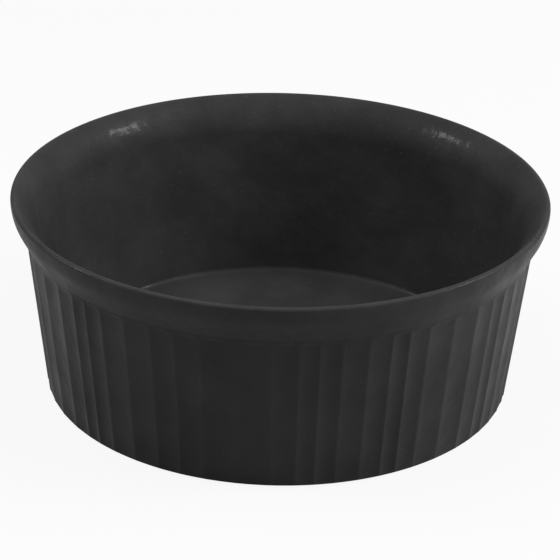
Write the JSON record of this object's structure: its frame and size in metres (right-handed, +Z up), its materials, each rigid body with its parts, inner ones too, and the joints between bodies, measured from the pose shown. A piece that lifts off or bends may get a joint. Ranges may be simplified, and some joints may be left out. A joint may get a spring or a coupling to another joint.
{
  "type": "casserole dish",
  "caption": "Round open casserole dish in dark satin-glazed stoneware, with fluted sides, a flared thin-edged lip and a flat base on a bare foot ring.",
  "frame": {"origin": "centre of the base, on the plane that the foot ring stands on", "axes": "+Z up along the dish's axis, towards the open top; -Y towards the viewer of the picture"},
  "size_m": [0.254, 0.254, 0.0967],
  "materials": {
    "bare_stoneware": "unglazed, fine sandy",
    "black_glaze": "satin, slightly uneven",
    "underside_glaze": "satin"
  },
  "bodies": {
    "root": {"stoneware_body": "bare_stoneware", "glaze_coat": "black_glaze", "underside_glaze": "underside_glaze"}
  },
  "joints": []
}
